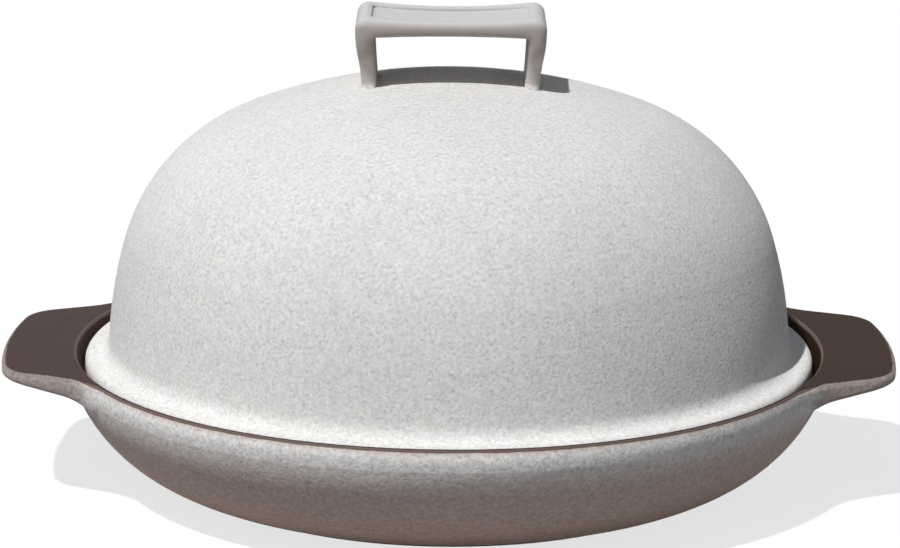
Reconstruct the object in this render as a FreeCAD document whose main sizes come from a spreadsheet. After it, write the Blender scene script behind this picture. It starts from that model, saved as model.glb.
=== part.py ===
# Clay bread baker: a round dish with two lug ears and a hollow domed lid with a bridge handle.
# Millimetres. Z is up, the dish stands on Z = 0, and the ears and the handle's bar lie along X.
import FreeCAD
import Part
import Sketcher
import math
import os

from FreeCAD import Vector

NODES_FOLDER = "parts"

# Every size that can be set by itself: name, value in millimetres or degrees, meaning.
SIZES = [
    ("rim_height", 52.0, "top of the dish's rim above the table"),
    ("rim_radius", 151.3, "widest radius of the dish's wall, a little under the rim"),
    ("rim_width", 2.5, "width of the rim, from the gallery to the wall's widest"),
    ("rim_round", 1.0, "rounding of the rim's outer edge"),
    ("lip_radius", 13.0, "profile radius of the wall's rounded top and of the ears' sides"),
    ("lip_drop", 5.0, "depth of the wall's and the ears' widest place below the rim"),
    ("lip_lean", 16.5, "lean of the wall where its rounded top meets the bowl, degrees"),
    ("brim_depth", 16.0, "depth below the rim where the hollow under an ear ends"),
    ("foot_lift", 0.6, "gap that the foot ring leaves under the bowl's round"),
    ("foot_reach", 10.0, "how far the foot ring reaches up the bowl's round"),
    ("foot_width", 8.0, "width of the foot ring"),
    ("foot_recess", 1.6, "depth of the hollow inside the foot ring"),
    ("floor_height", 7.0, "top of the dish's floor above the table"),
    ("inside_draft", 12.0, "lean of the dish's inner wall from upright, degrees"),
    ("inside_wall", 8.0, "height of the straight inner wall below the ledge"),
    ("ledge_depth", 8.4, "depth of the ledge below the rim"),
    ("ledge_width", 9.1, "width of the ledge that carries the lid"),
    ("gallery_lean", 3.2, "how far the gallery wall leans out from its foot to its top"),
    ("ear_length", 25.9, "how far an ear reaches out from the wall's widest"),
    ("ear_half_width", 45.0, "half the width of an ear at its tip, before its corners"),
    ("ear_flare", 23.0, "angle of an ear's sides from its middle line, degrees"),
    ("ear_corner", 18.0, "plan radius of an ear's corners"),
    ("ear_tip", 240.0, "plan radius of an ear's outer edge"),
    ("ear_root", 40.0, "plan radius where an ear's side flows into the rim"),
    ("ear_edge", 4.2, "thickness of an ear at its tip"),
    ("ear_slope", 10.2, "slope of an ear's underside, degrees"),
    ("ear_crest", 2.2, "rounding of the ears' upper edge"),
    ("ear_round", 1.6, "rounding of the ears' lower edge"),
    ("soft_edge", 1.2, "rounding of the ledge, the gallery and the foot ring"),
    ("lid_height", 160.4, "top of the dome above the table"),
    ("lid_wall", 6.0, "thickness of the dome"),
    ("crown_radius", 234.4, "profile radius of the dome's crown"),
    ("shoulder_radius", 75.2, "profile radius of the dome's shoulder"),
    ("side_radius", 167.2, "profile radius of the dome's side"),
    ("side_lean", 2.7, "lean of the dome's side above the flange, degrees"),
    ("flange_gap", 0.8, "clearance between the flange and the foot of the gallery wall"),
    ("flange_height", 7.4, "height of the lid's flange"),
    ("flange_width", 9.5, "how far the flange stands out from the dome"),
    ("flange_flat", 1.5, "width of the flat on top of the flange"),
    ("flange_round", 3.0, "rounding of the flange's upper edge"),
    ("flange_heel", 2.0, "rounding of the flange's lower edges"),
    ("handle_length", 74.2, "length of the handle's bar"),
    ("handle_depth", 43.2, "width of the bar from front to back"),
    ("handle_rise", 26.1, "top of the handle above the dome"),
    ("handle_corner", 4.4, "radius of the bar's upper corners"),
    ("handle_saddle", 300.0, "radius of the sag along the bar's top"),
    ("handle_arch", 640.0, "radius of the arch along the bar's underside"),
    ("handle_round", 2.4, "rounding of the handle's long edges"),
    ("bar_thickness", 7.8, "thickness of the bar at its ends"),
    ("leg_width", 6.8, "thickness of a leg under the bar"),
    ("foot_thickness", 6.2, "thickness of a leg at its foot"),
    ("foot_inset", 2.3, "how far the feet stand in from the bar's ends"),
    ("foot_waist", 6.8, "how far the feet stand in from the bar's front and back"),
    ("opening_corner", 1.4, "radius of the finger opening's upper corners"),
    ("panel_end", 6.3, "margin between the sunk panel and the bar's ends"),
    ("panel_side", 6.6, "margin between the sunk panel and the bar's front and back"),
    ("panel_depth", 1.2, "depth of the sunk panel"),
    ("panel_corner", 2.5, "plan radius of the sunk panel's corners"),
    ("panel_round", 1.0, "rounding of the sunk panel's upper edge"),
]

# How far a cutting outline runs past what it cuts, and how closely an edge is found.
CLEAR = 5.0
NEAR = 0.01

# Levels and radii worked out from the sizes, as formulas of the sheet.
LIP_ACROSS = "(sizes.rim_radius - sizes.lip_radius)"
LIP_UP = "(sizes.rim_height - sizes.lip_drop)"
LIP_FOOT = f"({LIP_UP} - sizes.lip_radius * sin(sizes.lip_lean))"
LIP_FOOT_ACROSS = f"({LIP_ACROSS} + sizes.lip_radius * cos(sizes.lip_lean))"
BOWL_RADIUS = f"(({LIP_FOOT} - sizes.foot_lift) / (1 - sin(sizes.lip_lean)))"
BOWL_ACROSS = f"({LIP_FOOT_ACROSS} - {BOWL_RADIUS} * cos(sizes.lip_lean))"
BOWL_UP = f"({BOWL_RADIUS} + sizes.foot_lift)"
BLANK_INSET = "(0.08 * sizes.lip_drop)"  # the turned wall swallows the round of the ears' blank
BLANK_RADIUS = f"(sizes.rim_radius - {BLANK_INSET})"
BLANK_DEPTH = "(sizes.lip_drop + sizes.lip_radius)"
BRIM_LEVEL = "(sizes.rim_height - sizes.brim_depth)"
BRIM_SINE = f"(({BOWL_UP} - {BRIM_LEVEL}) / {BOWL_RADIUS})"
BRIM_COSINE = f"sqrt(1 - {BRIM_SINE} * {BRIM_SINE})"
BRIM_ROOT = f"({BOWL_ACROSS} + {BOWL_RADIUS} * {BRIM_COSINE})"
FOOT_OUTER = f"({BOWL_ACROSS} + sizes.foot_reach)"
FOOT_INNER = f"({FOOT_OUTER} - sizes.foot_width)"
LEDGE_LEVEL = "(sizes.rim_height - sizes.ledge_depth)"
GALLERY_TOP = "(sizes.rim_radius - sizes.rim_width)"
GALLERY_FOOT = f"({GALLERY_TOP} - sizes.gallery_lean)"
LEDGE_INNER = f"({GALLERY_FOOT} - sizes.ledge_width)"
EAR_REACH = "(sizes.rim_radius + sizes.ear_length)"
FLANGE_RADIUS = f"({GALLERY_FOOT} - sizes.flange_gap)"
FLANGE_TOP = f"({LEDGE_LEVEL} + sizes.flange_height)"
FLANGE_HOLLOW = "(sizes.flange_width - sizes.flange_flat - sizes.flange_round)"
DOME_RADIUS = f"({FLANGE_RADIUS} - sizes.flange_width)"
DOME_FOOT = f"({FLANGE_TOP} + {FLANGE_HOLLOW} * (1 - sin(sizes.side_lean)))"
HANDLE_TOP = "(sizes.lid_height + sizes.handle_rise)"
BAR_LEVEL = f"({HANDLE_TOP} - sizes.handle_corner)"
OPENING_TOP = f"({HANDLE_TOP} - sizes.bar_thickness)"
BAR_CORNER = "(sizes.handle_length / 2 - sizes.handle_corner)"
SADDLE_REACH = "(sizes.handle_saddle + sizes.handle_corner)"
SADDLE_UP = f"({BAR_LEVEL} + sqrt({SADDLE_REACH} * {SADDLE_REACH} - {BAR_CORNER} * {BAR_CORNER}))"
LEG_INSIDE = "(sizes.handle_length / 2 - sizes.leg_width)"
FOOT_LEVEL = "(sizes.lid_height - sizes.lid_wall / 2)"
HANDLE_ROOT = "(sizes.lid_height - 0.85 * sizes.lid_wall)"
PANEL_LENGTH = "(sizes.handle_length - 2 * sizes.panel_end)"
PANEL_WIDTH = "(sizes.handle_depth - 2 * sizes.panel_side)"

# Roundings, each limited by the thin part that it goes round.
EAR_UPPER_ROUND = "min(sizes.ear_crest; 0.52 * sizes.ear_edge)"
EAR_LOWER_ROUND = "min(sizes.ear_round; 0.38 * sizes.ear_edge)"
RIM_OUTER_ROUND = "min(sizes.rim_round; 0.4 * sizes.rim_width)"
GALLERY_EDGE_ROUND = "min(sizes.soft_edge; 0.32 * sizes.rim_width)"
FOOT_RING_ROUND = "min(sizes.soft_edge; 0.5 * sizes.foot_recess)"
HANDLE_EDGE_ROUND = "min(sizes.handle_round; 0.42 * sizes.foot_thickness)"
PANEL_EDGE_ROUND = "min(sizes.panel_round; 0.8 * sizes.panel_depth)"

# Where the rim's outer rounding has its centre, inside the wall's rounded top.
RIM_ROUND_UP = f"(sizes.rim_height - {RIM_OUTER_ROUND})"
RIM_ROUND_REACH = f"(sizes.lip_radius - {RIM_OUTER_ROUND})"
RIM_ROUND_RISE = f"({RIM_ROUND_UP} - {LIP_UP})"
RIM_ROUND_RUN = (f"sqrt({RIM_ROUND_REACH} * {RIM_ROUND_REACH}"
                 f" - {RIM_ROUND_RISE} * {RIM_ROUND_RISE})")
RIM_ROUND_ACROSS = f"({LIP_ACROSS} + {RIM_ROUND_RUN})"

document = FreeCAD.newDocument("bread_baker")
sizes = document.addObject("Spreadsheet::Sheet", "sizes")
for row, (alias, number, meaning) in enumerate(SIZES, start=1):
    sizes.set(f"A{row}", alias)
    sizes.set(f"B{row}", str(number))
    sizes.set(f"C{row}", meaning)
    sizes.setAlias(f"B{row}", alias)
document.recompute()


def value(formula):
    """The number that a formula of the sheet gives."""
    result = sizes.evalExpression(formula)
    return float(getattr(result, "Value", result))


def spot(across, up):
    """The point that two formulas give."""
    return Vector(value(across), value(up), 0)


def origin_plane(body, role):
    """One of a body's own origin planes, by its role."""
    return next(plane for plane in body.Origin.OriginFeatures if plane.Role == role)


class Outline:
    """A closed sketch, drawn curve by curve, whose sizes are formulas of the sheet."""

    def __init__(self, body, name, plane, lift=None):
        self.sketch = body.newObject("Sketcher::SketchObject", name)
        self.sketch.AttachmentSupport = [(origin_plane(body, plane), "")]
        self.sketch.MapMode = "FlatFace"
        if lift:
            self.sketch.setExpression(".AttachmentOffset.Base.z", lift)
        self.curves = []

    def line(self, start, end):
        """A straight line between two points."""
        index = self.sketch.addGeometry(Part.LineSegment(start, end), False)
        self.curves.append((index, 1, 2))

    def arc(self, start, end, centre):
        """The shorter arc between two points about a centre."""
        middle = (start - centre) + (end - centre)
        middle = centre + middle.normalize() * (start - centre).Length
        index = self.sketch.addGeometry(Part.Arc(start, middle, end), False)
        first_end = self.sketch.getPoint(index, 1)
        forward = (first_end - start).Length < (first_end - end).Length
        self.curves.append((index, 1, 2) if forward else (index, 2, 1))

    def close(self, smooth=()):
        """Joins each curve to the next, smoothly where its number is listed."""
        for number, (index, _, end) in enumerate(self.curves):
            following, start, _ = self.curves[(number + 1) % len(self.curves)]
            kind = "Tangent" if number in smooth else "Coincident"
            self.sketch.addConstraint(Sketcher.Constraint(kind, index, end, following, start))

    def bind(self, formula, kind, *where):
        """One size of the sketch, set by a formula of the sheet."""
        number = math.radians(value(formula)) if kind == "Angle" else value(formula)
        constraint = self.sketch.addConstraint(Sketcher.Constraint(kind, *where, number))
        self.sketch.setExpression(f"Constraints[{constraint}]", formula)

    def pin(self, curve, across=None, up=None, point="start"):
        """Holds a curve's start, end or centre at its distance from the two axes."""
        index, start, end = self.curves[curve]
        position = {"start": start, "end": end, "centre": 3}[point]
        for formula, kind, axis in ((across, "DistanceX", -2), (up, "DistanceY", -1)):
            if formula == "0":
                rule = Sketcher.Constraint("PointOnObject", index, position, axis)
                self.sketch.addConstraint(rule)
            elif formula:
                self.bind(formula, kind, -1, 1, index, position)

    def radius(self, curve, formula):
        """Sets the radius of an arc."""
        self.bind(formula, "Radius", self.curves[curve][0])

    def level(self, curve, kind):
        """Keeps a line Horizontal or Vertical."""
        self.sketch.addConstraint(Sketcher.Constraint(kind, self.curves[curve][0]))

    def same_centre(self, curve, other):
        """Puts two arcs about one centre."""
        pair = (self.curves[curve][0], 3, self.curves[other][0], 3)
        self.sketch.addConstraint(Sketcher.Constraint("Coincident", *pair))

    def finish(self):
        """Solves the sketch, and stops on one with a loose or conflicting size."""
        document.recompute()
        if self.sketch.solve() != 0 or not self.sketch.FullyConstrained:
            raise RuntimeError(f"{self.sketch.Name} isn't fully held by its sizes")
        self.sketch.Visibility = False
        return self.sketch


def traced(body, name, plane, corners):
    """A closed sketch through pinned corners, each (across, up) or, where an arc starts there,
    (across, up, radius, centre across, centre up), all of them formulas."""
    outline = Outline(body, name, plane)
    points = [spot(corner[0], corner[1]) for corner in corners]
    for number, corner in enumerate(corners):
        end = points[(number + 1) % len(points)]
        if len(corner) == 2:
            outline.line(points[number], end)
        else:
            outline.arc(points[number], end, spot(corner[3], corner[4]))
    outline.close()
    for number, corner in enumerate(corners):
        outline.pin(number, corner[0], corner[1])
        if len(corner) > 2:
            outline.radius(number, corner[2])
    return outline.finish()


def turned(body, kind, name, sketch):
    """A Revolution that adds or a Groove that cuts, once round the upright axis."""
    feature = body.newObject(f"PartDesign::{kind}", name)
    feature.Profile = sketch
    feature.ReferenceAxis = (sketch, ["V_Axis"])
    feature.Angle = 360
    document.recompute()
    return feature


def across_plane(body, kind, name, sketch, length=None):
    """A Pad or a Pocket to both sides of its sketch, or a Pocket right through."""
    feature = body.newObject(f"PartDesign::{kind}", name)
    feature.Profile = sketch
    feature.SideType = "Symmetric"
    if length:
        feature.setExpression("Length", length)
    else:
        feature.Type = "ThroughAll"
    document.recompute()
    return feature


def rounded(body, name, radius, wanted):
    """A Fillet on the edges of the body's last feature that pass a test."""
    base = body.Tip
    chosen = [f"Edge{number}" for number, edge in enumerate(base.Shape.Edges, start=1)
              if not edge.Degenerated and wanted(edge)]
    if not chosen:
        raise RuntimeError(f"{name} finds no edge to round")
    feature = body.newObject("PartDesign::Fillet", name)
    feature.Base = (base, chosen)
    feature.setExpression("Radius", radius)
    document.recompute()
    return feature


def flat_at(edge, height):
    """Whether an edge lies flat at a height."""
    return abs(edge.BoundBox.ZMin - height) < NEAR and abs(edge.BoundBox.ZMax - height) < NEAR


def distances(edge):
    """The nearest and the farthest that an edge comes to the upright axis."""
    spread = [math.hypot(point.x, point.y) for point in edge.discretize(9)]
    return min(spread), max(spread)


def panel_wall(edge):
    """Whether an edge stands upright at a corner of the sunk panel."""
    box = edge.BoundBox
    upright = box.XLength < NEAR and box.YLength < NEAR
    beside = abs(abs(box.XMin) - value(PANEL_LENGTH) / 2) < NEAR
    return upright and beside and abs(abs(box.YMin) - value(PANEL_WIDTH) / 2) < NEAR


def ring_at(radius, height):
    """A test for the circles about the upright axis with one radius, at one height."""
    def test(edge):
        near, far = distances(edge)
        return flat_at(edge, height) and abs(near - radius) < NEAR and abs(far - radius) < NEAR
    return test


# Dish: rim, ears, bowl, foot ring, gallery and ledge, one casting.
def brim_outline(body):
    """Both ears in plan on a round just inside the rim, clockwise from above. Each half is an arc
    of that round, then for each side of the ear a root arc, a straight side and a corner arc,
    with the tip arc between."""
    outline = Outline(body, "brim_outline", "XY_Plane", lift="sizes.rim_height")
    flare = math.radians(sizes.ear_flare)
    along = Vector(math.cos(flare), -math.sin(flare), 0)
    outward = Vector(math.sin(flare), math.cos(flare), 0)
    side_offset = (f"({EAR_REACH} * sin(sizes.ear_flare)"
                   " + sizes.ear_half_width * cos(sizes.ear_flare))")
    side = value(side_offset)
    rim = value(BLANK_RADIUS)
    root = sizes.ear_root
    corner = sizes.ear_corner
    tip = sizes.ear_tip
    middle = Vector(0, 0, 0)
    tip_centre = Vector(value(f"{EAR_REACH} - sizes.ear_tip"), 0, 0)
    root_run = math.sqrt((rim + root) ** 2 - (side + root) ** 2)
    root_centre = outward * (side + root) + along * root_run
    corner_drop = side - corner - tip_centre.dot(outward)
    corner_run = tip_centre.dot(along) + math.sqrt((tip - corner) ** 2 - corner_drop ** 2)
    corner_centre = outward * (side - corner) + along * corner_run
    rim_end = root_centre * (rim / (rim + root))
    side_start = root_centre - outward * root
    side_end = corner_centre + outward * corner
    tip_end = tip_centre + (corner_centre - tip_centre) * (tip / (tip - corner))

    def quarter(point, east, north):
        return Vector(point.x * east, point.y * north, 0)

    for east in (1, -1):
        for north in (east, -east):
            if north == east:
                outline.arc(quarter(rim_end, -east, north), quarter(rim_end, east, north), middle)
                points = [rim_end, side_start, side_end, tip_end]
                centres = [root_centre, None, corner_centre]
            else:
                outline.arc(quarter(tip_end, east, -north), quarter(tip_end, east, north),
                            quarter(tip_centre, east, north))
                points = [tip_end, side_end, side_start, rim_end]
                centres = [corner_centre, None, root_centre]
            for start, end, centre in zip(points, points[1:], centres):
                if centre:
                    outline.arc(quarter(start, east, north), quarter(end, east, north),
                                quarter(centre, east, north))
                else:
                    outline.line(quarter(start, east, north), quarter(end, east, north))
    outline.close(smooth=range(len(outline.curves)))
    for half, sign in ((0, ""), (8, "-")):
        outline.pin(half, "0", "0", point="centre")
        outline.pin(half + 4, f"{sign}({EAR_REACH} - sizes.ear_tip)", "0", point="centre")
        outline.radius(half, BLANK_RADIUS)
        outline.radius(half + 4, "sizes.ear_tip")
        for curve in (half + 1, half + 7):
            outline.radius(curve, "sizes.ear_root")
        for curve in (half + 3, half + 5):
            outline.radius(curve, "sizes.ear_corner")
        for curve in (half + 2, half + 6):
            outline.bind(side_offset, "Distance", -1, 1, outline.curves[curve][0])
    for curve, angle in ((2, "-sizes.ear_flare"), (6, "180 + sizes.ear_flare"),
                         (10, "180 - sizes.ear_flare"), (14, "sizes.ear_flare")):
        outline.bind(angle, "Angle", outline.curves[curve][0])
    return outline.finish()


def bowl_section(body):
    """Half section of the dish without its ears: foot ring, round side, the wall's rounded top
    and the rounded edge of the rim, solid to the axis."""
    beside = f"({FOOT_OUTER} - {BOWL_ACROSS})"
    foot_top = f"({BOWL_UP} - sqrt({BOWL_RADIUS} * {BOWL_RADIUS} - {beside} * {beside}))"
    share = f"({RIM_OUTER_ROUND} / {RIM_ROUND_REACH})"
    return traced(body, "bowl_section", "XZ_Plane", [
        ("0", "sizes.foot_recess"),
        (FOOT_INNER, "sizes.foot_recess"),
        (FOOT_INNER, "0"),
        (FOOT_OUTER, "0"),
        (FOOT_OUTER, foot_top, BOWL_RADIUS, BOWL_ACROSS, BOWL_UP),
        (LIP_FOOT_ACROSS, LIP_FOOT, "sizes.lip_radius", LIP_ACROSS, LIP_UP),
        (f"({RIM_ROUND_ACROSS} + {RIM_ROUND_RUN} * {share})",
         f"({RIM_ROUND_UP} + {RIM_ROUND_RISE} * {share})",
         RIM_OUTER_ROUND, RIM_ROUND_ACROSS, RIM_ROUND_UP),
        (RIM_ROUND_ACROSS, "sizes.rim_height"),
        ("0", "sizes.rim_height"),
    ])


def ear_space_section(body):
    """Half section of the space under the ears: a hollow that leaves the wall smoothly, then
    the slope that leaves each ear its edge."""
    run = f"({EAR_REACH} - {BRIM_ROOT})"
    rise = "(sizes.brim_depth - sizes.ear_edge)"
    upward = f"(cos(sizes.ear_slope) - {BRIM_SINE})"
    outward = f"({BRIM_COSINE} - sin(sizes.ear_slope))"
    hollow = (f"(({rise} - {run} * tan(sizes.ear_slope))"
              f" / ({upward} - {outward} * tan(sizes.ear_slope)))")
    centre_across = f"({BRIM_ROOT} + {hollow} * {BRIM_COSINE})"
    centre_up = f"({BRIM_LEVEL} - {hollow} * {BRIM_SINE})"
    beyond = f"({EAR_REACH} + {CLEAR})"
    below = f"({BRIM_LEVEL} - {CLEAR})"
    tip_up = f"(sizes.rim_height - sizes.ear_edge + {CLEAR} * tan(sizes.ear_slope))"
    return traced(body, "ear_space_section", "XZ_Plane", [
        (BRIM_ROOT, BRIM_LEVEL, hollow, centre_across, centre_up),
        (f"({BRIM_ROOT} + {hollow} * {outward})", f"({BRIM_LEVEL} + {hollow} * {upward})"),
        (beyond, tip_up),
        (beyond, below),
        (f"({BRIM_ROOT} - {CLEAR})", below),
    ])


def inside_section(body):
    """Half section of the dish's inside: floor, inner wall, ledge and gallery wall."""
    wall_foot = f"({LEDGE_LEVEL} - sizes.inside_wall)"
    wall_across = f"({LEDGE_INNER} - sizes.inside_wall * tan(sizes.inside_draft))"
    radius = f"(({wall_foot} - sizes.floor_height) / (1 - sin(sizes.inside_draft)))"
    floor_edge = f"({wall_across} - {radius} * cos(sizes.inside_draft))"
    above = f"(sizes.rim_height + {CLEAR})"
    return traced(body, "inside_section", "XZ_Plane", [
        ("0", "sizes.floor_height"),
        (floor_edge, "sizes.floor_height", radius, floor_edge, f"(sizes.floor_height + {radius})"),
        (wall_across, wall_foot),
        (LEDGE_INNER, LEDGE_LEVEL),
        (GALLERY_FOOT, LEDGE_LEVEL),
        (GALLERY_TOP, "sizes.rim_height"),
        (GALLERY_TOP, above),
        ("0", above),
    ])


def make_dish():
    """The dish: the ears are shaped and rounded on their blank, then the turned bowl swallows
    the blank's round, and the inside is cut out."""
    body = document.addObject("PartDesign::Body", "base_dish")
    blank = body.newObject("PartDesign::Pad", "brim_blank")
    blank.Profile = brim_outline(body)
    blank.Reversed = True
    blank.setExpression("Length", BLANK_DEPTH)
    document.recompute()
    blank_foot = value(f"sizes.rim_height - {BLANK_DEPTH}")
    rounded(body, "ear_sides", "sizes.lip_radius", lambda edge: flat_at(edge, blank_foot))
    turned(body, "Groove", "ear_space", ear_space_section(body))

    brim_level = value(BRIM_LEVEL)
    brim_root = value(BRIM_ROOT)
    under_ear_tip = sizes.rim_height - 0.75 * sizes.ear_edge

    def lower_ear_edge(edge):
        """The edges where the ears' sides meet the slope and the hollow under them."""
        box = edge.BoundBox
        slopes = not flat_at(edge, box.ZMin) and box.YLength > NEAR
        under = box.ZMin > brim_level - NEAR and box.ZMax < under_ear_tip
        return slopes and under and distances(edge)[1] > brim_root + NEAR

    rounded(body, "ear_lower_edges", EAR_LOWER_ROUND, lower_ear_edge)
    rounded(body, "ear_upper_edges", EAR_UPPER_ROUND, lambda edge: flat_at(edge, sizes.rim_height))
    turned(body, "Revolution", "bowl", bowl_section(body))
    turned(body, "Groove", "inside", inside_section(body))
    for name, rounding, radius, height in (
            ("gallery_edge", GALLERY_EDGE_ROUND, GALLERY_TOP, "sizes.rim_height"),
            ("gallery_corner", "sizes.soft_edge", GALLERY_FOOT, LEDGE_LEVEL),
            ("ledge_edge", "sizes.soft_edge", LEDGE_INNER, LEDGE_LEVEL)):
        rounded(body, name, rounding, ring_at(value(radius), value(height)))
    rounded(body, "foot_edges", FOOT_RING_ROUND, lambda edge: flat_at(edge, 0))
    return body


# Lid: flange, hollow dome and bridge handle, one casting.
def handle_front(body):
    """The handle seen from the front: two waisted legs, a bar that sags along its top and a
    finger opening with an arched top. The feet end inside the dome's wall."""
    bar = "(sizes.handle_length / 2)"
    foot = f"({bar} - sizes.foot_inset)"
    foot_inside = f"({foot} - sizes.foot_thickness)"
    waist_up = f"(({FOOT_LEVEL} + {BAR_LEVEL}) / 2)"
    waist = f"(({foot} + {bar}) / 2)"
    height = f"({BAR_LEVEL} - {FOOT_LEVEL})"
    bend = f"(({height} * {height} / sizes.foot_inset + sizes.foot_inset) / 4)"
    share = f"(sizes.handle_saddle / {SADDLE_REACH})"
    crest = f"({BAR_CORNER} * {share})"
    crest_up = f"({SADDLE_UP} + ({BAR_LEVEL} - {SADDLE_UP}) * {share})"
    arch_up = (f"({OPENING_TOP} - sqrt(sizes.handle_arch * sizes.handle_arch"
               f" - {LEG_INSIDE} * {LEG_INSIDE}))")
    return traced(body, "handle_front", "XZ_Plane", [
        (foot_inside, HANDLE_ROOT),
        (foot, HANDLE_ROOT),
        (foot, FOOT_LEVEL, bend, f"({foot} + {bend})", FOOT_LEVEL),
        (waist, waist_up, bend, f"({bar} - {bend})", BAR_LEVEL),
        (bar, BAR_LEVEL, "sizes.handle_corner", BAR_CORNER, BAR_LEVEL),
        (crest, crest_up, "sizes.handle_saddle", "0", SADDLE_UP),
        (f"-{crest}", crest_up, "sizes.handle_corner", f"-{BAR_CORNER}", BAR_LEVEL),
        (f"-{bar}", BAR_LEVEL, bend, f"({bend} - {bar})", BAR_LEVEL),
        (f"-{waist}", waist_up, bend, f"-({foot} + {bend})", FOOT_LEVEL),
        (f"-{foot}", FOOT_LEVEL),
        (f"-{foot}", HANDLE_ROOT),
        (f"-{foot_inside}", HANDLE_ROOT),
        (f"-{LEG_INSIDE}", OPENING_TOP, "sizes.handle_arch", "0", arch_up),
        (LEG_INSIDE, OPENING_TOP),
    ])


def leg_waist(body, name, sign):
    """What is cut off the legs at the front or the back, seen from the side: nothing at the
    bar, then a double bend in to the narrower feet."""
    bar = "(sizes.handle_depth / 2)"
    foot = f"({bar} - sizes.foot_waist)"
    height = f"({BAR_LEVEL} - {FOOT_LEVEL})"
    bend = f"(({height} * {height} / sizes.foot_waist + sizes.foot_waist) / 4)"
    below = f"({HANDLE_ROOT} - {CLEAR})"
    beyond = f"({bar} + {CLEAR})"
    return traced(body, name, "YZ_Plane", [
        (f"{sign}{bar}", BAR_LEVEL, bend, f"{sign}({bar} - {bend})", BAR_LEVEL),
        (f"{sign}(({foot} + {bar}) / 2)", f"(({FOOT_LEVEL} + {BAR_LEVEL}) / 2)", bend,
         f"{sign}({foot} + {bend})", FOOT_LEVEL),
        (f"{sign}{foot}", FOOT_LEVEL),
        (f"{sign}{foot}", below),
        (f"{sign}{beyond}", below),
        (f"{sign}{beyond}", BAR_LEVEL),
    ])


def panel_section(body):
    """The sunk panel from the front: its floor sags with the top of the bar."""
    radius = "(sizes.handle_saddle + sizes.panel_depth)"
    half = f"({PANEL_LENGTH} / 2)"
    floor_up = f"({SADDLE_UP} - sqrt({radius} * {radius} - {half} * {half}))"
    above = f"({HANDLE_TOP} + {CLEAR})"
    return traced(body, "panel_section", "XZ_Plane", [
        (half, above),
        (f"-{half}", above),
        (f"-{half}", floor_up, radius, "0", SADDLE_UP),
        (half, floor_up),
    ])


def dome_section(body):
    """Half section of the flange and the hollow dome. Outside and inside, the crown, shoulder
    and side arcs run into each other, and the inside keeps the wall's thickness."""
    outline = Outline(body, "dome_section", "XZ_Plane")
    lean = math.radians(sizes.side_lean)
    wall = sizes.lid_wall
    crown = sizes.crown_radius
    shoulder = sizes.shoulder_radius
    side = sizes.side_radius
    hollow = value(FLANGE_HOLLOW)
    lip = sizes.flange_round
    heel = sizes.flange_heel
    top = sizes.lid_height
    rim = value(FLANGE_RADIUS)
    ledge = value(LEDGE_LEVEL)
    lip_top = value(FLANGE_TOP)
    leaning = Vector(math.cos(lean), math.sin(lean), 0)

    dome_foot = spot(DOME_RADIUS, DOME_FOOT)
    side_centre = dome_foot - leaning * side
    crown_centre = Vector(0, top - crown, 0)
    # The shoulder's centre lies a known distance from the other two.
    apart = (side_centre - crown_centre).Length
    toward = (side_centre - crown_centre).normalize()
    run = ((crown - shoulder) ** 2 - (side - shoulder) ** 2 + apart ** 2) / (2 * apart)
    rise = math.sqrt((crown - shoulder) ** 2 - run ** 2)
    shoulder_centre = crown_centre + toward * run + Vector(toward.y, -toward.x, 0) * rise
    to_crown = (shoulder_centre - crown_centre).normalize()
    to_side = (shoulder_centre - side_centre).normalize()
    hollow_centre = dome_foot + leaning * hollow
    inner_side = side_centre + leaning * (side - wall)
    heel_across = inner_side.x + (inner_side.y - ledge) * math.tan(lean) + heel

    outline.arc(Vector(0, top, 0), crown_centre + to_crown * crown, crown_centre)
    outline.arc(crown_centre + to_crown * crown, side_centre + to_side * side, shoulder_centre)
    outline.arc(side_centre + to_side * side, dome_foot, side_centre)
    outline.arc(dome_foot, Vector(hollow_centre.x, lip_top, 0), hollow_centre)
    outline.line(Vector(hollow_centre.x, lip_top, 0), Vector(rim - lip, lip_top, 0))
    outline.arc(Vector(rim - lip, lip_top, 0), Vector(rim, lip_top - lip, 0),
                Vector(rim - lip, lip_top - lip, 0))
    outline.line(Vector(rim, lip_top - lip, 0), Vector(rim, ledge + heel, 0))
    outline.arc(Vector(rim, ledge + heel, 0), Vector(rim - heel, ledge, 0),
                Vector(rim - heel, ledge + heel, 0))
    outline.line(Vector(rim - heel, ledge, 0), Vector(heel_across, ledge, 0))
    outline.arc(Vector(heel_across, ledge, 0), Vector(heel_across - heel, ledge + heel, 0),
                Vector(heel_across, ledge + heel, 0))
    outline.line(Vector(heel_across - heel, ledge + heel, 0), inner_side)
    outline.arc(inner_side, side_centre + to_side * (side - wall), side_centre)
    outline.arc(side_centre + to_side * (side - wall), crown_centre + to_crown * (crown - wall),
                shoulder_centre)
    outline.arc(crown_centre + to_crown * (crown - wall), Vector(0, top - wall, 0), crown_centre)
    outline.line(Vector(0, top - wall, 0), Vector(0, top, 0))
    outline.close(smooth=range(13))

    for curve, formula in ((0, "sizes.crown_radius"), (1, "sizes.shoulder_radius"),
                           (2, "sizes.side_radius"), (3, FLANGE_HOLLOW),
                           (5, "sizes.flange_round"), (7, "sizes.flange_heel"),
                           (9, "sizes.flange_heel"),
                           (11, "sizes.side_radius - sizes.lid_wall")):
        outline.radius(curve, formula)
    outline.pin(0, "0", "sizes.lid_height")
    outline.pin(0, "0", point="centre")
    outline.pin(2, up=f"({DOME_FOOT} - sizes.side_radius * sin(sizes.side_lean))", point="centre")
    outline.pin(3, DOME_RADIUS, DOME_FOOT)
    outline.level(4, "Horizontal")
    outline.level(6, "Vertical")
    outline.pin(6, FLANGE_RADIUS)
    outline.level(8, "Horizontal")
    outline.pin(8, up=LEDGE_LEVEL)
    outline.pin(11, up=f"({DOME_FOOT} - sizes.lid_wall * sin(sizes.side_lean))")
    outline.same_centre(11, 2)
    outline.same_centre(12, 1)
    outline.same_centre(13, 0)
    outline.pin(14, "0")
    return outline.finish()


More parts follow.
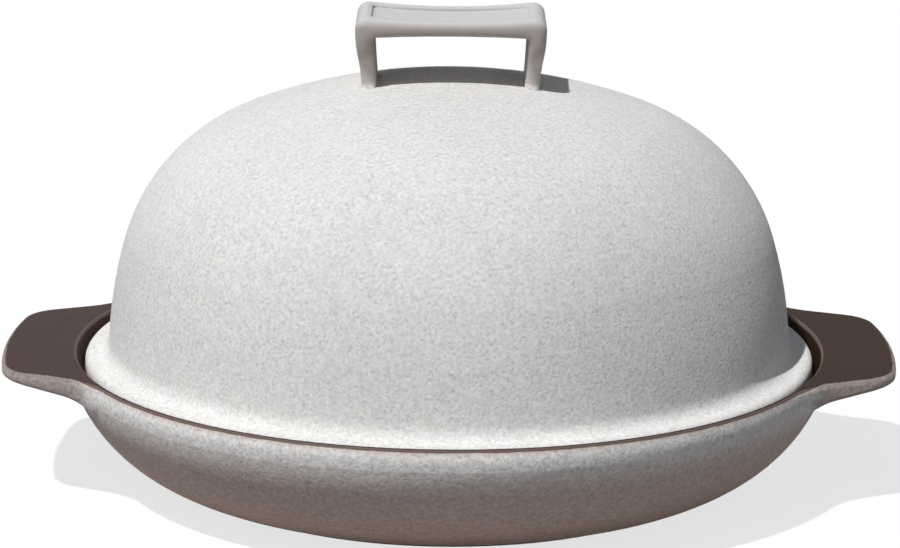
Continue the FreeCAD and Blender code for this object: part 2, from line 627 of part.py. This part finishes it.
def make_lid():
    """The lid: the handle is shaped first, then the dome grows round its feet."""
    body = document.addObject("PartDesign::Body", "dome_lid")
    across_plane(body, "Pad", "handle_blank", handle_front(body), "sizes.handle_depth")
    for name, sign in (("waist_back", ""), ("waist_front", "-")):
        across_plane(body, "Pocket", name, leg_waist(body, name + "_section", sign))

    leg_inside = value(LEG_INSIDE)
    opening_top = value(OPENING_TOP)
    root = value(HANDLE_ROOT)
    quarter_depth = sizes.handle_depth / 4
    half_length = value(PANEL_LENGTH) / 2
    half_width = value(PANEL_WIDTH) / 2

    def opening_corner(edge):
        """The two edges across the top of the finger opening."""
        box = edge.BoundBox
        beside = abs(abs(box.XMin) - leg_inside) < NEAR
        return beside and box.XLength < NEAR and flat_at(edge, opening_top)

    def front_or_back(edge):
        """The edges along the front and the back of the bar and the legs, not those where the
        waist starts across a leg."""
        box = edge.BoundBox
        outside = box.YMin > quarter_depth or box.YMax < -quarter_depth
        crosses = box.ZLength < NEAR and max(abs(box.XMin), abs(box.XMax)) > leg_inside
        return outside and not flat_at(edge, root) and not crosses

    def top_of_bar(across):
        """The height of the bar's top at a distance from its middle."""
        return value(SADDLE_UP) - math.sqrt(sizes.handle_saddle ** 2 - across ** 2)

    def panel_rim(edge):
        """The edge between the sunk panel and the top of the bar."""
        box = edge.BoundBox
        inside = max(abs(box.XMin), abs(box.XMax)) < half_length + NEAR
        inside = inside and max(abs(box.YMin), abs(box.YMax)) < half_width + NEAR
        middle = edge.CenterOfMass
        return inside and middle.z > top_of_bar(middle.x) - sizes.panel_depth / 2

    rounded(body, "opening_corners", "sizes.opening_corner", opening_corner)
    rounded(body, "handle_edges", HANDLE_EDGE_ROUND, front_or_back)
    across_plane(body, "Pocket", "panel", panel_section(body), PANEL_WIDTH)
    rounded(body, "panel_corners", "sizes.panel_corner", panel_wall)
    rounded(body, "panel_edge", PANEL_EDGE_ROUND, panel_rim)
    turned(body, "Revolution", "dome", dome_section(body))
    return body


def check(part):
    """Stops on anything that failed, or on a piece that isn't one sound solid."""
    for thing in document.Objects:
        if "Invalid" in thing.State or "Error" in thing.State:
            raise RuntimeError(f"{thing.Name} failed")
    shape = part.Shape
    if shape.isNull() or not shape.isValid() or len(shape.Solids) != 1:
        raise RuntimeError(f"{part.Label} isn't one sound solid")


pieces = {"base_dish": make_dish(), "dome_lid": make_lid()}
document.recompute()
for name, piece in pieces.items():
    piece.Label = name
    piece.Placement = FreeCAD.Placement()
    check(piece)
os.makedirs(NODES_FOLDER, exist_ok=True)
for name, piece in pieces.items():
    piece.Shape.exportStep(os.path.join(NODES_FOLDER, f"{name}.step"))
    print(name, round(piece.Shape.Volume / 1000, 1), "cubic centimetres")
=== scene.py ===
import math
from functools import cached_property

import bpy
from mathutils import Matrix, Vector

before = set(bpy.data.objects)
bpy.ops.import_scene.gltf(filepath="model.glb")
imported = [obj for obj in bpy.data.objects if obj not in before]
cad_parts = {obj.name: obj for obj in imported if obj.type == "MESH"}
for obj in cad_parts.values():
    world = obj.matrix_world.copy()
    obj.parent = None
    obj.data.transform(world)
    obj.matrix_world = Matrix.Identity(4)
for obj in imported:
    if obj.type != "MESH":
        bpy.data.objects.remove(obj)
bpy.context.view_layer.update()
MM = 0.001
WHITE = (1.0, 1.0, 1.0, 1.0)

# Camera: what it aims at, where it stands and its small roll
AIM = Vector((0.0, 0.0, 52.0)) * MM
AIM_OFFSET_RIGHT = 0.4 * MM
AIM_OFFSET_UP = 27.4 * MM
CAMERA_DISTANCE = 1440.0 * MM
CAMERA_DOWN = math.radians(13.86)
CAMERA_ROLL = math.radians(0.38)
SENSOR_WIDTH = 36.0
LENS = 144.0
CLIP = (0.05, 50.0)

# Light: each lamp's name, where it comes from, its strength and how wide it is
LAMPS = (
    ("key", Vector((-0.303, -0.377, 0.869)), 3.12, math.radians(1.5)),
    ("fill", Vector((-0.35, -0.91, 0.22)), 0.52, math.radians(100.0)),
)
LAMP_DISTANCE = 2.0
SKY_COLOUR = (0.74, 0.86, 1.0, 1.0)
SKY_STRENGTH = 0.125

# Floor: its colour to the eye, the colour that it bounces and how much it glows to the eye
FLOOR_SIZE = 12.0
FLOOR_SEEN = (0.97, 0.97, 0.97, 1.0)
FLOOR_BOUNCE = (0.29, 0.28, 0.28, 1.0)
FLOOR_GLOW = 0.74

# Parts of a noise's range: its wide middle and its core
WIDE = (0.25, 0.75)
CORE = (0.3, 0.7)

# Noises: the size of their lumps in metres, their detail and their roughness
GRAIN_NOISE = (1.4 * MM, 2.0, 0.5)
FLECK_NOISE = (1.25 * MM, 1.0, 0.5)
BLOTCH_NOISE = (4.0 * MM, 2.0, 0.5)
CLOUD_NOISE = (16.0 * MM, 3.0, 0.6)
DRIFT_NOISE = (60.0 * MM, 2.0, 0.5)
RAW_NOISE = (2.2 * MM, 3.0, 0.6)
POOL_NOISE = (12.0 * MM, 2.0, 0.5)
WAVE_NOISE = (9.0 * MM, 2.0, 0.5)
WANDER_NOISE = (7.0 * MM, 2.0, 0.5)
COARSE_NOISE = (2.0 * MM, 2.0, 0.6)
HANDLE_NOISE = (2.5 * MM, 2.0, 0.5)

# Sandy clay: its colours, how what lies in it shades it and how high that stands
CLAY = (0.715, 0.703, 0.686)
GRAIN_TONE = (0.875, 1.09)
GRAIN_RELIEF = 0.65
FLECK_SHIFT = (0.31, 0.17, 0.05)
FLECK_EDGE = (0.25, 0.50)
FLECK_TONE = (0.87, 1.01)
FLECK_RELIEF = 0.4
BLOTCH_TONE = (0.975, 1.02)
WARM_CLOUD = (0.710, 0.682, 0.657)
CLOUD_EDGE = (0.45, 0.75)
CLOUD_SHARE = 0.35
RAW_DARK = (0.46, 0.36, 0.30)
RAW_LIGHT = (0.60, 0.49, 0.42)

# Brown glaze: its two shades, a darker brown towards the right that is painted shade, and its
# shade where it is thin
GLAZE_DARK = (0.047, 0.026, 0.0235)
GLAZE_LIGHT = (0.053, 0.030, 0.028)
GLAZE_PAINTED_SHADE = (0.026, 0.0105, 0.0045)
GLAZE_THIN = (0.24, 0.182, 0.158)
LEFT_TO_RIGHT = (-90.0 * MM, 110.0 * MM)

# Skins: roughness, specular level and diffuse roughness, then relief in metres and strength
CLAY_SKIN = (0.8, 0.2, 0.15)
CLAY_BUMP = (0.21 * MM, 0.8)
GLAZE_SKIN = (0.52, 0.04, 0.2)
GLAZE_BUMP = (0.25 * MM, 0.3)
GLAZE_GRIT = 0.1
WAVE_HEIGHT = 0.4
LID_SOFTNESS = 3.5 * MM
DISH_SOFTNESS = 1.0 * MM
BEVEL_SAMPLES = 6

# Dish: heights, reaches from the upright axis, turns of the surface, and shares
EAR_REACH = (151.5 * MM, 155.5 * MM)
INSIDE_REACH = (149.5 * MM, 149.0 * MM)
INSIDE_FACING = (-0.25, -0.4)
INSIDE_HEIGHT = (5.0 * MM, 6.0 * MM)
LEDGE_TURN = (0.30, 0.42)
FLAT_TURN = (0.93, 0.98)
GLAZE_LINE = (50.7 * MM, 51.15 * MM)
GLAZE_LIFT_ON_EARS = 0.9 * MM
GLAZE_WANDER = 0.5 * MM
GALLERY_EDGE_FACING = (-0.12, -0.5)
GALLERY_WALL_FACING = (-0.98, -0.75)
GALLERY_EDGE_HEIGHT = (49.5 * MM, 51.0 * MM)
GALLERY_EDGE_THIN = 0.4
BROW_TURN = (0.985, 0.80)
BROW_HEIGHT = (50.3 * MM, 50.8 * MM)
BROW_THIN = (0.6, 0.05)
FOOT_HEIGHT = (1.1 * MM, 0.4 * MM)
BLUSH = (0.83, 0.695, 0.65)
BLUSH_HEIGHT = (48.6 * MM, 50.9 * MM)
BLUSH_SHARE = 0.8
BLUSH_REACH = (152.0 * MM, 158.0 * MM)
EAR_CREST = (50.2 * MM, 51.2 * MM)
EAR_SHADE = (0.60, 0.46)
# Painted light: a lighter band just under the rim
RIM_HEIGHT = (47.5 * MM, 49.5 * MM)
RIM_PAINTED_LIGHT = (1.0, 1.1)
COARSE_TONE = (0.88, 1.12)
# Painted shade: the outside turns grey and then brown towards the bottom
DISH_PAINTED_SHADE_GREY = (0.74, 0.61, 0.57)
GREY_HEIGHT = (47.0 * MM, 31.0 * MM)
DISH_PAINTED_SHADE_BROWN = (0.82, 0.61, 0.51)
BROWN_HEIGHT = (32.0 * MM, 8.0 * MM)

# Lid: the crown's sphere and the hollow's middle, then heights, turns and tones
CROWN_CENTRE = (0.0, 0.0, (160.4 - 234.4) * MM)
CROWN_RADIUS = 234.4 * MM
HOLLOW_CENTRE = (0.0, 0.0, 40.0 * MM)
HOLLOW_FACING = (-0.25, -0.45)
HOLLOW_HEIGHT = (45.5 * MM, 46.5 * MM)
LID_FOOT_TURN = (-0.5, -0.8)
LID_FOOT_HEIGHT = (47.0 * MM, 46.0 * MM)
# Painted light: the dome lightens towards its foot
DOME_FOOT_HEIGHT = (76.0 * MM, 55.0 * MM)
DOME_FOOT_PAINTED_LIGHT = (1.0, 1.07)
HANDLE_FADE = (0.4 * MM, 3.0 * MM)
HANDLE_TOP = (0.590, 0.573, 0.575)
# Painted shade over a browner tone: the bar's sides, underside and upper legs
HANDLE_PAINTED_SHADE = (0.430, 0.380, 0.355)
HANDLE_LOW = (0.545, 0.500, 0.480)
BAR_SIDE_HEIGHT = (186.2 * MM, 181.8 * MM)
BAR_SIDE_TURN = (0.985, 0.65)
LEG_HEIGHT = (173.5 * MM, 168.0 * MM)
HANDLE_TONE = (0.965, 1.02)
HANDLE_SMOOTHNESS = 0.75


def add_camera():
    """Stands the camera where the picture was taken from."""
    across = Vector((1.0, 0.0, 0.0))
    ahead = Vector((0.0, math.cos(CAMERA_DOWN), -math.sin(CAMERA_DOWN)))
    above = Vector((0.0, math.sin(CAMERA_DOWN), math.cos(CAMERA_DOWN)))
    right = across * math.cos(CAMERA_ROLL) + above * math.sin(CAMERA_ROLL)
    up = above * math.cos(CAMERA_ROLL) - across * math.sin(CAMERA_ROLL)
    data = bpy.data.cameras.new("view")
    data.sensor_width = SENSOR_WIDTH
    data.lens = LENS
    data.clip_start, data.clip_end = CLIP
    camera = bpy.data.objects.new("view", data)
    bpy.context.scene.collection.objects.link(camera)
    turn = Matrix((right, up, -ahead)).transposed().to_4x4()
    place = AIM + right * AIM_OFFSET_RIGHT + up * AIM_OFFSET_UP
    place = place - ahead * CAMERA_DISTANCE
    camera.matrix_world = Matrix.Translation(place) @ turn
    bpy.context.scene.camera = camera


def seen_directly(tree):
    """1 for rays from the camera and for rays in gloss or through glass."""
    path = tree.nodes.new("ShaderNodeLightPath")
    seen = path.outputs["Is Camera Ray"]
    for name in ("Is Glossy Ray", "Is Transmission Ray"):
        either = tree.nodes.new("ShaderNodeMath")
        either.operation = "MAXIMUM"
        tree.links.new(seen, either.inputs[0])
        tree.links.new(path.outputs[name], either.inputs[1])
        seen = either.outputs[0]
    return seen


def add_light():
    """A key lamp from the upper front left, a broad weak fill from the front and a pale sky
    that is white to the eye."""
    for name, toward, strength, angle in LAMPS:
        data = bpy.data.lights.new(name, "SUN")
        data.energy = strength
        data.angle = angle
        lamp = bpy.data.objects.new(name, data)
        bpy.context.scene.collection.objects.link(lamp)
        lamp.location = toward * LAMP_DISTANCE
        lamp.rotation_euler = toward.to_track_quat("Z", "Y").to_euler()

    world = bpy.data.worlds.new("studio")
    bpy.context.scene.world = world
    world.use_nodes = True
    tree = world.node_tree
    tree.nodes.clear()
    out = tree.nodes.new("ShaderNodeOutputWorld")
    mix = tree.nodes.new("ShaderNodeMixShader")
    tree.links.new(seen_directly(tree), mix.inputs["Fac"])
    for place, colour, strength in ((1, SKY_COLOUR, SKY_STRENGTH), (2, WHITE, 1.0)):
        back = tree.nodes.new("ShaderNodeBackground")
        back.inputs["Color"].default_value = colour
        back.inputs["Strength"].default_value = strength
        tree.links.new(back.outputs[0], mix.inputs[place])
    tree.links.new(mix.outputs[0], out.inputs["Surface"])


def add_floor():
    """A plain white floor that keeps the object's shadow."""
    half = FLOOR_SIZE / 2
    mesh = bpy.data.meshes.new("floor")
    corners = [(-half, -half, 0), (half, -half, 0), (half, half, 0), (-half, half, 0)]
    mesh.from_pydata(corners, [], [(0, 1, 2, 3)])
    floor = bpy.data.objects.new("floor", mesh)
    bpy.context.scene.collection.objects.link(floor)
    material = bpy.data.materials.new("floor_white")
    material.use_nodes = True
    tree = material.node_tree
    tree.nodes.clear()
    out = tree.nodes.new("ShaderNodeOutputMaterial")
    seen = seen_directly(tree)
    paint = tree.nodes.new("ShaderNodeMix")
    paint.data_type = "RGBA"
    tree.links.new(seen, paint.inputs["Factor"])
    paint.inputs[6].default_value = FLOOR_BOUNCE
    paint.inputs[7].default_value = FLOOR_SEEN
    matte = tree.nodes.new("ShaderNodeBsdfDiffuse")
    tree.links.new(paint.outputs[2], matte.inputs["Color"])
    glow = tree.nodes.new("ShaderNodeEmission")
    glow.inputs["Color"].default_value = WHITE
    glow.inputs["Strength"].default_value = 1.0
    part = tree.nodes.new("ShaderNodeMath")
    part.operation = "MULTIPLY"
    part.inputs[1].default_value = FLOOR_GLOW
    tree.links.new(seen, part.inputs[0])
    mix = tree.nodes.new("ShaderNodeMixShader")
    tree.links.new(part.outputs[0], mix.inputs["Fac"])
    tree.links.new(matte.outputs[0], mix.inputs[1])
    tree.links.new(glow.outputs[0], mix.inputs[2])
    tree.links.new(mix.outputs[0], out.inputs["Surface"])
    mesh.materials.append(material)


class Finish:
    """A material with short calls for the nodes that the finishes share."""

    def __init__(self, name):
        self.material = bpy.data.materials.new(name)
        self.material.use_nodes = True
        self.tree = self.material.node_tree
        self.tree.nodes.clear()
        self.out = self.tree.nodes.new("ShaderNodeOutputMaterial")
        self.place = self.tree.nodes.new("ShaderNodeTexCoord").outputs["Object"]
        self.normal = self.tree.nodes.new("ShaderNodeNewGeometry").outputs["Normal"]
        self.x, self.y, self.z = self.parts(self.place)
        self.up = self.parts(self.normal)[2]

    @cached_property
    def spoke(self):
        """From the upright axis straight out to the point."""
        return self.join(self.x, self.y, 0.0)

    @cached_property
    def reach(self):
        """How far the point is from the upright axis."""
        return self.vector("LENGTH", self.spoke, value=True)

    @cached_property
    def outward(self):
        """How far the surface faces away from the upright axis, from -1 to 1."""
        away = self.vector("NORMALIZE", self.spoke)
        return self.vector("DOT_PRODUCT", self.normal, away, value=True)

    def plug(self, socket, value):
        """Links a node's output to a socket, or sets the socket to a value."""
        if isinstance(value, bpy.types.NodeSocket):
            self.tree.links.new(value, socket)
        elif isinstance(value, tuple) and len(value) == 3 and socket.type == "RGBA":
            socket.default_value = (*value, 1.0)
        else:
            socket.default_value = value

    def math(self, operation, first, second):
        node = self.tree.nodes.new("ShaderNodeMath")
        node.operation = operation
        self.plug(node.inputs[0], first)
        self.plug(node.inputs[1], second)
        return node.outputs[0]

    def plus(self, first, second):
        return self.math("ADD", first, second)

    def minus(self, first, second):
        return self.math("SUBTRACT", first, second)

    def times(self, first, *others):
        """The product of two or more numbers."""
        for other in others:
            first = self.math("MULTIPLY", first, other)
        return first

    def largest(self, first, *others):
        """The largest of two or more numbers."""
        for other in others:
            first = self.math("MAXIMUM", first, other)
        return first

    def vector(self, operation, first, second=(0.0, 0.0, 0.0), value=False):
        """A vector operation, which gives a number where value is set."""
        node = self.tree.nodes.new("ShaderNodeVectorMath")
        node.operation = operation
        self.plug(node.inputs[0], first)
        self.plug(node.inputs[1], second)
        return node.outputs["Value"] if value else node.outputs["Vector"]

    def parts(self, vector):
        node = self.tree.nodes.new("ShaderNodeSeparateXYZ")
        self.plug(node.inputs[0], vector)
        return node.outputs[0], node.outputs[1], node.outputs[2]

    def join(self, x, y, z):
        node = self.tree.nodes.new("ShaderNodeCombineXYZ")
        for socket, value in zip(node.inputs, (x, y, z)):
            self.plug(socket, value)
        return node.outputs[0]

    def noise(self, kind, place=None):
        """Noise of one of the kinds listed above, at the point or at another place."""
        size, detail, rough = kind
        node = self.tree.nodes.new("ShaderNodeTexNoise")
        self.plug(node.inputs["Vector"], self.place if place is None else place)
        node.inputs["Scale"].default_value = 1.0 / size
        node.inputs["Detail"].default_value = detail
        node.inputs["Roughness"].default_value = rough
        return node.outputs[0]

    def ramp(self, value, limits, result=(0.0, 1.0)):
        """Goes smoothly from one result to the other between two limits of value."""
        node = self.tree.nodes.new("ShaderNodeMapRange")
        node.interpolation_type = "SMOOTHSTEP"
        self.plug(node.inputs["Value"], value)
        for name, number in zip(("From Min", "From Max", "To Min", "To Max"), (*limits, *result)):
            node.inputs[name].default_value = number
        return node.outputs["Result"]

    def mix(self, share, first, second):
        """The first colour where share is 0, the second where it is 1."""
        node = self.tree.nodes.new("ShaderNodeMix")
        node.data_type = "RGBA"
        self.plug(node.inputs["Factor"], share)
        self.plug(node.inputs[6], first)
        self.plug(node.inputs[7], second)
        return node.outputs[2]

    def tinted(self, colour, tint):
        """A colour with each of its parts multiplied by a tint's."""
        return self.vector("MULTIPLY", colour, tint)

    def scaled(self, colour, amount):
        """A colour made lighter or darker by a number that varies."""
        node = self.tree.nodes.new("ShaderNodeVectorMath")
        node.operation = "SCALE"
        self.plug(node.inputs[0], colour)
        self.plug(node.inputs["Scale"], amount)
        return node.outputs["Vector"]

    def softened(self, radius):
        """The surface's normal, turned smoothly across edges and hollows."""
        node = self.tree.nodes.new("ShaderNodeBevel")
        node.samples = BEVEL_SAMPLES
        node.inputs["Radius"].default_value = radius
        return node.outputs["Normal"]

    def bump(self, height, relief, base):
        node = self.tree.nodes.new("ShaderNodeBump")
        self.plug(node.inputs["Normal"], base)
        self.plug(node.inputs["Height"], height)
        node.inputs["Distance"].default_value, node.inputs["Strength"].default_value = relief
        return node.outputs["Normal"]

    def skin(self, colour, normal, gloss):
        """A surface shader with its own fixed gloss."""
        node = self.tree.nodes.new("ShaderNodeBsdfPrincipled")
        self.plug(node.inputs["Base Color"], colour)
        self.plug(node.inputs["Normal"], normal)
        for name, number in zip(("Roughness", "Specular IOR Level", "Diffuse Roughness"), gloss):
            node.inputs[name].default_value = number
        return node.outputs[0]

    def cover(self, share, under, over):
        """The finished surface: one shader laid over another."""
        node = self.tree.nodes.new("ShaderNodeMixShader")
        self.plug(node.inputs["Fac"], share)
        self.plug(node.inputs[1], under)
        self.plug(node.inputs[2], over)
        self.plug(self.out.inputs["Surface"], node.outputs[0])


def sandy(fin):
    """Sandy off-white stoneware: dark flecks sunk in a pale ground, soft clouds and a gritty
    skin. Returns its colour and the height of its grit."""
    grain = fin.noise(GRAIN_NOISE)
    beside = fin.vector("ADD", fin.place, FLECK_SHIFT)
    unflecked = fin.ramp(fin.noise(FLECK_NOISE, beside), FLECK_EDGE)
    shade = fin.times(fin.ramp(grain, WIDE, GRAIN_TONE),
                      fin.ramp(unflecked, (0.0, 1.0), FLECK_TONE),
                      fin.ramp(fin.noise(BLOTCH_NOISE), CORE, BLOTCH_TONE),
                      fin.ramp(fin.noise(DRIFT_NOISE), CORE, BLOTCH_TONE))
    cloud = fin.ramp(fin.noise(CLOUD_NOISE), CLOUD_EDGE, (0.0, CLOUD_SHARE))
    colour = fin.scaled(fin.mix(cloud, CLAY, WARM_CLOUD), shade)
    grit = fin.plus(fin.times(grain, GRAIN_RELIEF), fin.times(unflecked, FLECK_RELIEF))
    return colour, grit


def brown_glaze(fin, thin_share):
    """The glaze's colour: two shades that pool, painted shade that darkens it towards the right,
    and thin places.
    """
    brown = fin.mix(fin.ramp(fin.noise(POOL_NOISE), CORE), GLAZE_DARK, GLAZE_LIGHT)
    # Painted shade: the glaze darkens towards the right
    brown = fin.mix(fin.ramp(fin.x, LEFT_TO_RIGHT), brown, GLAZE_PAINTED_SHADE)
    return fin.mix(thin_share, brown, GLAZE_THIN)


def clay_and_glaze(name, glazed, bare, tone, softness):
    """Sandy stoneware, brown matte glaze where glazed says and raw clay where bare says."""
    fin = Finish(name)
    glaze_share, thin_share = glazed(fin)
    colour, grit = sandy(fin)
    colour, roughly = tone(fin, colour)
    raw = fin.mix(fin.noise(RAW_NOISE), RAW_DARK, RAW_LIGHT)
    colour = fin.mix(bare(fin), colour, raw)
    base = fin.softened(softness)
    waves = fin.times(fin.noise(WAVE_NOISE), WAVE_HEIGHT)
    gritty = fin.bump(fin.plus(fin.times(grit, roughly), waves), CLAY_BUMP, base)
    flowing = fin.bump(fin.plus(fin.times(grit, GLAZE_GRIT), waves), GLAZE_BUMP, base)
    clay = fin.skin(colour, gritty, CLAY_SKIN)
    glaze = fin.skin(brown_glaze(fin, thin_share), flowing, GLAZE_SKIN)
    fin.cover(glaze_share, clay, glaze)
    return fin.material


def dish_glaze(fin):
    """Brown glaze on the tops of the rim and the ears, in the gallery and inside. It ends higher
    on the ears, and is thin on the rim's outer edge and along the gallery's top edge."""
    wander = fin.times(fin.minus(fin.noise(WANDER_NOISE), 0.5), GLAZE_WANDER)
    lift = fin.ramp(fin.reach, EAR_REACH, (0.0, GLAZE_LIFT_ON_EARS))
    top = fin.ramp(fin.minus(fin.plus(fin.z, wander), lift), GLAZE_LINE)
    inner = fin.times(fin.ramp(fin.outward, INSIDE_FACING), fin.ramp(fin.z, INSIDE_HEIGHT))
    ledge = fin.times(fin.ramp(fin.up, LEDGE_TURN), fin.ramp(fin.reach, INSIDE_REACH))
    share = fin.largest(top, inner, fin.ramp(fin.up, FLAT_TURN), ledge)
    edge = fin.times(fin.ramp(fin.outward, GALLERY_EDGE_FACING),
                     fin.ramp(fin.outward, GALLERY_WALL_FACING),
                     fin.ramp(fin.z, GALLERY_EDGE_HEIGHT), GALLERY_EDGE_THIN)
    brow = fin.times(fin.ramp(fin.up, BROW_TURN), fin.ramp(fin.z, BROW_HEIGHT),
                     fin.ramp(fin.reach, EAR_REACH, BROW_THIN))
    return share, fin.largest(edge, brow)


def dish_bare(fin):
    """Raw clay shows on the foot ring."""
    return fin.ramp(fin.z, FOOT_HEIGHT)


def dish_tone(fin, colour):
    """The dish's outside blushes under its rim's glaze and round the ears, has painted light in a
    band just under its rim, and goes from grey to brown below as painted shade. Its grit is even."""
    blush = fin.largest(fin.ramp(fin.z, BLUSH_HEIGHT, (0.0, BLUSH_SHARE)),
                        fin.ramp(fin.reach, BLUSH_REACH))
    colour = fin.mix(blush, colour, fin.tinted(colour, BLUSH))
    shaded = fin.scaled(colour, fin.ramp(fin.z, EAR_CREST, EAR_SHADE))
    colour = fin.mix(fin.ramp(fin.reach, EAR_REACH), colour, shaded)
    # Painted light: lightens a band just under the rim
    colour = fin.scaled(colour, fin.ramp(fin.z, RIM_HEIGHT, RIM_PAINTED_LIGHT))
    coarse = fin.ramp(fin.noise(COARSE_NOISE), WIDE, COARSE_TONE)
    colour = fin.scaled(colour, coarse)
    # Painted shade: greyer and then browner towards the bottom, under the belly
    grey = fin.tinted(colour, DISH_PAINTED_SHADE_GREY)
    brown = fin.tinted(colour, DISH_PAINTED_SHADE_BROWN)
    colour = fin.mix(fin.ramp(fin.z, GREY_HEIGHT), colour, grey)
    return fin.mix(fin.ramp(fin.z, BROWN_HEIGHT), colour, brown), 1.0


def handle_share(fin):
    """1 on the lid's handle, 0 on its dome: how far a point stands over the crown."""
    offset = fin.vector("SUBTRACT", fin.place, CROWN_CENTRE)
    over = fin.minus(fin.vector("LENGTH", offset, value=True), CROWN_RADIUS)
    return fin.ramp(over, HANDLE_FADE)


def lid_glaze(fin):
    """The lid is glazed on the inside only, above its foot."""
    spoke = fin.vector("NORMALIZE", fin.vector("SUBTRACT", fin.place, HOLLOW_CENTRE))
    facing = fin.vector("DOT_PRODUCT", fin.normal, spoke, value=True)
    dome = fin.minus(1.0, handle_share(fin))
    share = fin.times(fin.ramp(facing, HOLLOW_FACING), fin.ramp(fin.z, HOLLOW_HEIGHT), dome)
    return share, 0.0


def lid_bare(fin):
    """The flange's underside is raw clay."""
    return fin.times(fin.ramp(fin.up, LID_FOOT_TURN), fin.ramp(fin.z, LID_FOOT_HEIGHT))


def lid_tone(fin, colour):
    """The dome has painted light at its foot. The handle is smoother, and darkest round its bar,
    where painted shade lies over a browner tone.
    """
    share = handle_share(fin)
    # Painted shade under the bar, over a browner tone: its sides, underside and upper legs
    bar_shade = fin.times(fin.ramp(fin.z, BAR_SIDE_HEIGHT), fin.ramp(fin.up, BAR_SIDE_TURN))
    handle = fin.mix(bar_shade, HANDLE_TOP, HANDLE_PAINTED_SHADE)
    handle = fin.mix(fin.ramp(fin.z, LEG_HEIGHT), handle, HANDLE_LOW)
    handle = fin.scaled(handle, fin.ramp(fin.noise(HANDLE_NOISE), CORE, HANDLE_TONE))
    # Painted light: the dome lightens towards its foot
    dome = fin.scaled(colour, fin.ramp(fin.z, DOME_FOOT_HEIGHT, DOME_FOOT_PAINTED_LIGHT))
    roughly = fin.minus(1.0, fin.times(share, HANDLE_SMOOTHNESS))
    return fin.mix(share, dome, handle), roughly


add_camera()
add_light()
add_floor()

finishes = {
    "dome_lid": clay_and_glaze("lid_clay", lid_glaze, lid_bare, lid_tone, LID_SOFTNESS),
    "base_dish": clay_and_glaze("dish_clay", dish_glaze, dish_bare, dish_tone, DISH_SOFTNESS),
}
for name, material in finishes.items():
    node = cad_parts[name]
    node.data.materials.clear()
    node.data.materials.append(material)

bpy.context.scene.view_settings.view_transform = "Standard"
